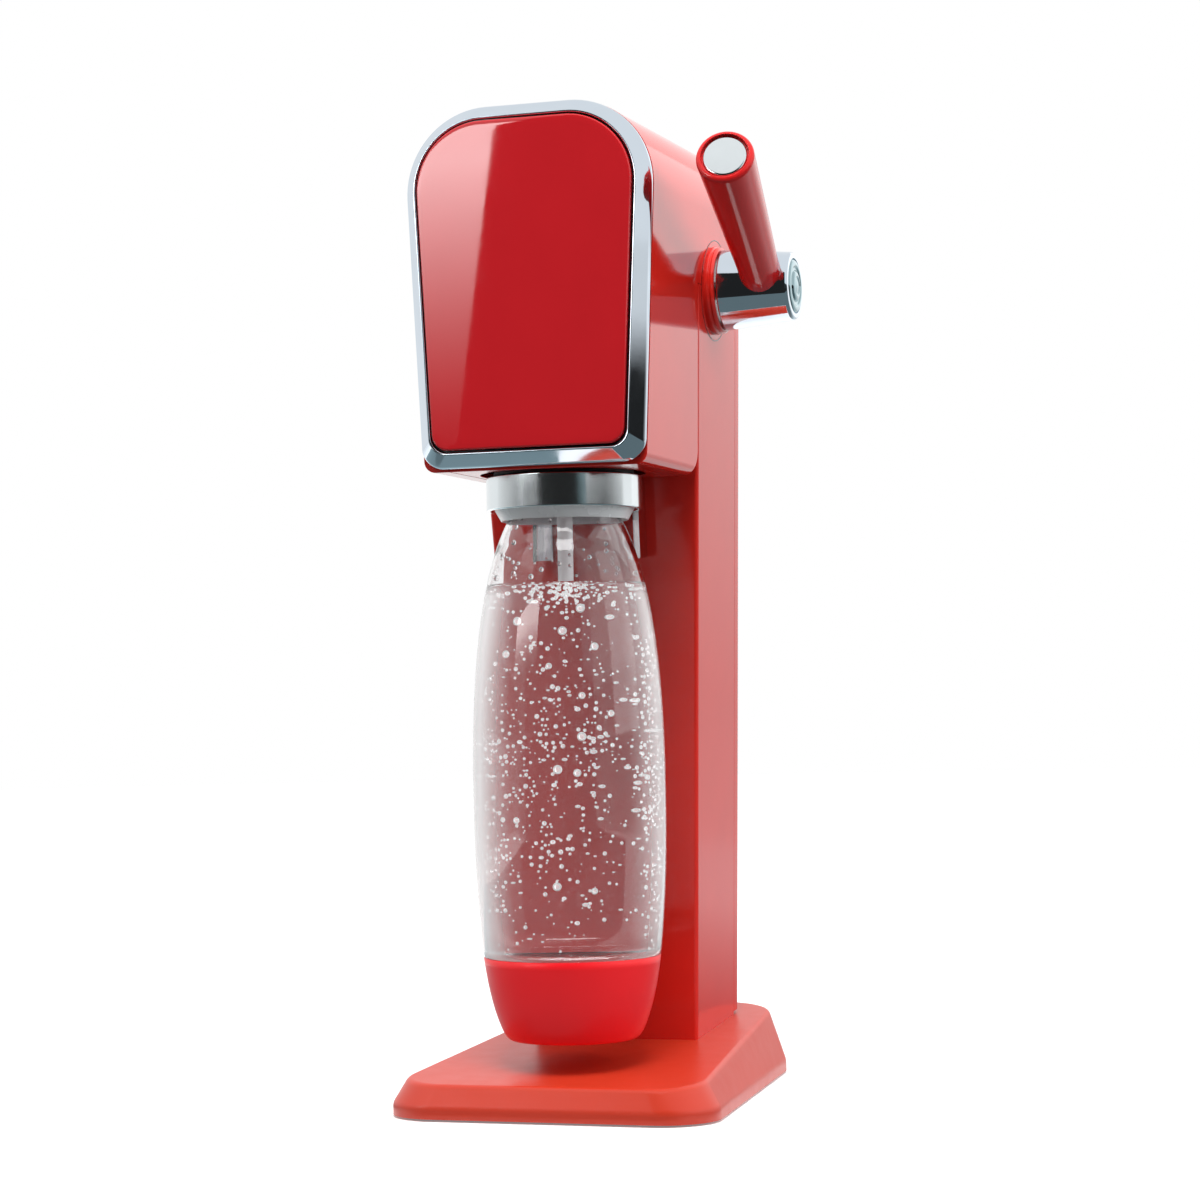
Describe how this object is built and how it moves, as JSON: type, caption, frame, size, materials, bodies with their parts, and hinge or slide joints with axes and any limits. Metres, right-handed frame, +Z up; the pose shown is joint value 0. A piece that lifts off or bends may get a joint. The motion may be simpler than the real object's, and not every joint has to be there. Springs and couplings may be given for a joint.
{
  "type": "soda carbonator",
  "caption": "Countertop soda carbonator: raked column on a sloping base, head with a side lever, tilting bottle holder with clear bottle, gas cylinder inside.",
  "frame": {"origin": "centre of the base's footprint, on the surface that the rubber foot ring rests on", "axes": "+Z up; the front panel faces -Y; +X is the machine's side that carries the lever (the viewer's right)"},
  "size_m": [0.1704, 0.2127, 0.428],
  "materials": {
    "red_panel": "gloss",
    "red_body": "gloss",
    "red_base": "satin",
    "red_cup": "satin",
    "chrome_trim": "polished",
    "silver_metal": "satin",
    "steel": "satin",
    "brass": "satin",
    "cylinder_paint": "satin",
    "black_rubber": "matte",
    "dark_plastic": "matte",
    "black_gloss": "gloss",
    "white_plastic": "satin",
    "clear_bottle": "gloss"
  },
  "bodies": {
    "frame": {"foot_ring": "black_rubber", "base_bottom_plate": "dark_plastic", "base_shell": "red_base", "base_screws": "steel", "column_shell": "red_body", "column_screws": "steel", "cylinder_seat": "black_rubber", "cylinder_body": "cylinder_paint", "cylinder_valve": "brass", "cylinder_seal": "black_rubber", "pin_spring": "steel", "valve_block": "dark_plastic", "plunger_spring": "steel", "valve_bracket": "steel", "rocker_pin": "steel", "gas_hose": "white_plastic", "head_chassis": "dark_plastic", "chassis_screws": "steel", "head_shell": "red_body", "head_underside": "red_body", "bezel_frame": "chrome_trim", "panel_gasket": "black_gloss", "front_panel": "red_panel", "hub_collar": "red_body", "axle_bushes": "brass", "lever_spring": "steel", "holder_bracket": "silver_metal", "bracket_screws": "steel"},
    "lever": {"lever_axle": "steel", "lever_cam": "dark_plastic", "axle_clip": "steel", "lever_hub": "chrome_trim", "hub_end_cap": "chrome_trim", "lever_handle": "red_body", "handle_end_cap": "silver_metal"},
    "rocker": {"rocker_arm": "steel"},
    "plunger": {"plunger": "steel"},
    "valve_pin": {"valve_pin": "steel"},
    "holder": {"bottle_ring": "silver_metal", "ring_collar": "white_plastic", "holder_body": "dark_plastic", "tilt_pins": "steel", "nozzle_holder": "white_plastic", "nozzle_tube": "white_plastic", "bottle_seal": "black_rubber", "relief_valve": "brass"},
    "bottle": {"bottle_body": "clear_bottle", "bottle_cup": "red_cup"},
    "cover": {"rear_cover": "red_body"},
    "latch": {"latch_button": "red_body"}
  },
  "joints": [
    {"name": "lever_turn", "type": "hinge", "parent": "frame", "child": "lever", "pos_m": [0.05, 0.0018, 0.3554], "axis": [1, 0, 0], "range_deg": [0, 45], "stiffness_Nm_per_rad": 0.8, "springref_deg": -14.32},
    {"name": "rocker_turn", "type": "hinge", "parent": "frame", "child": "rocker", "pos_m": [0, -0.02018, 0.34511], "axis": [1, 0, 0], "range_deg": [-5.3, 0]},
    {"name": "plunger_slide", "type": "slide", "parent": "frame", "child": "plunger", "axis": [0, 0.0854, -0.9963], "range_m": [0, 0.00275], "deforming": ["plunger_spring"]},
    {"name": "pin_slide", "type": "slide", "parent": "frame", "child": "valve_pin", "axis": [0, 0.0854, -0.9963], "range_m": [0, 0.00255], "deforming": ["pin_spring"]},
    {"name": "holder_tilt", "type": "hinge", "parent": "frame", "child": "holder", "pos_m": [0, -0.0567, 0.279], "axis": [-1, 0, 0], "range_deg": [0, 15], "deforming": ["gas_hose"]},
    {"name": "bottle_slide", "type": "slide", "parent": "holder", "child": "bottle", "axis": [0, 0, -1], "range_m": [0, 0.006]},
    {"name": "cover_tilt", "type": "hinge", "parent": "frame", "child": "cover", "pos_m": [0, 0.07228, 0.03053], "axis": [-1, 0, 0], "range_deg": [0, 25]},
    {"name": "latch_press", "type": "slide", "parent": "cover", "child": "latch", "axis": [0, -0.9963, -0.0854], "range_m": [0, 0.0025], "stiffness_N_per_m": 400, "springref_m": -0.001}
  ],
  "couplings": [
    {"joint": "rocker_turn", "follows": "lever_turn", "ratio": -0.1147},
    {"joint": "plunger_slide", "follows": "lever_turn", "m_per_rad": 0.003412},
    {"joint": "pin_slide", "follows": "lever_turn", "m_per_rad": 0.003183}
  ]
}
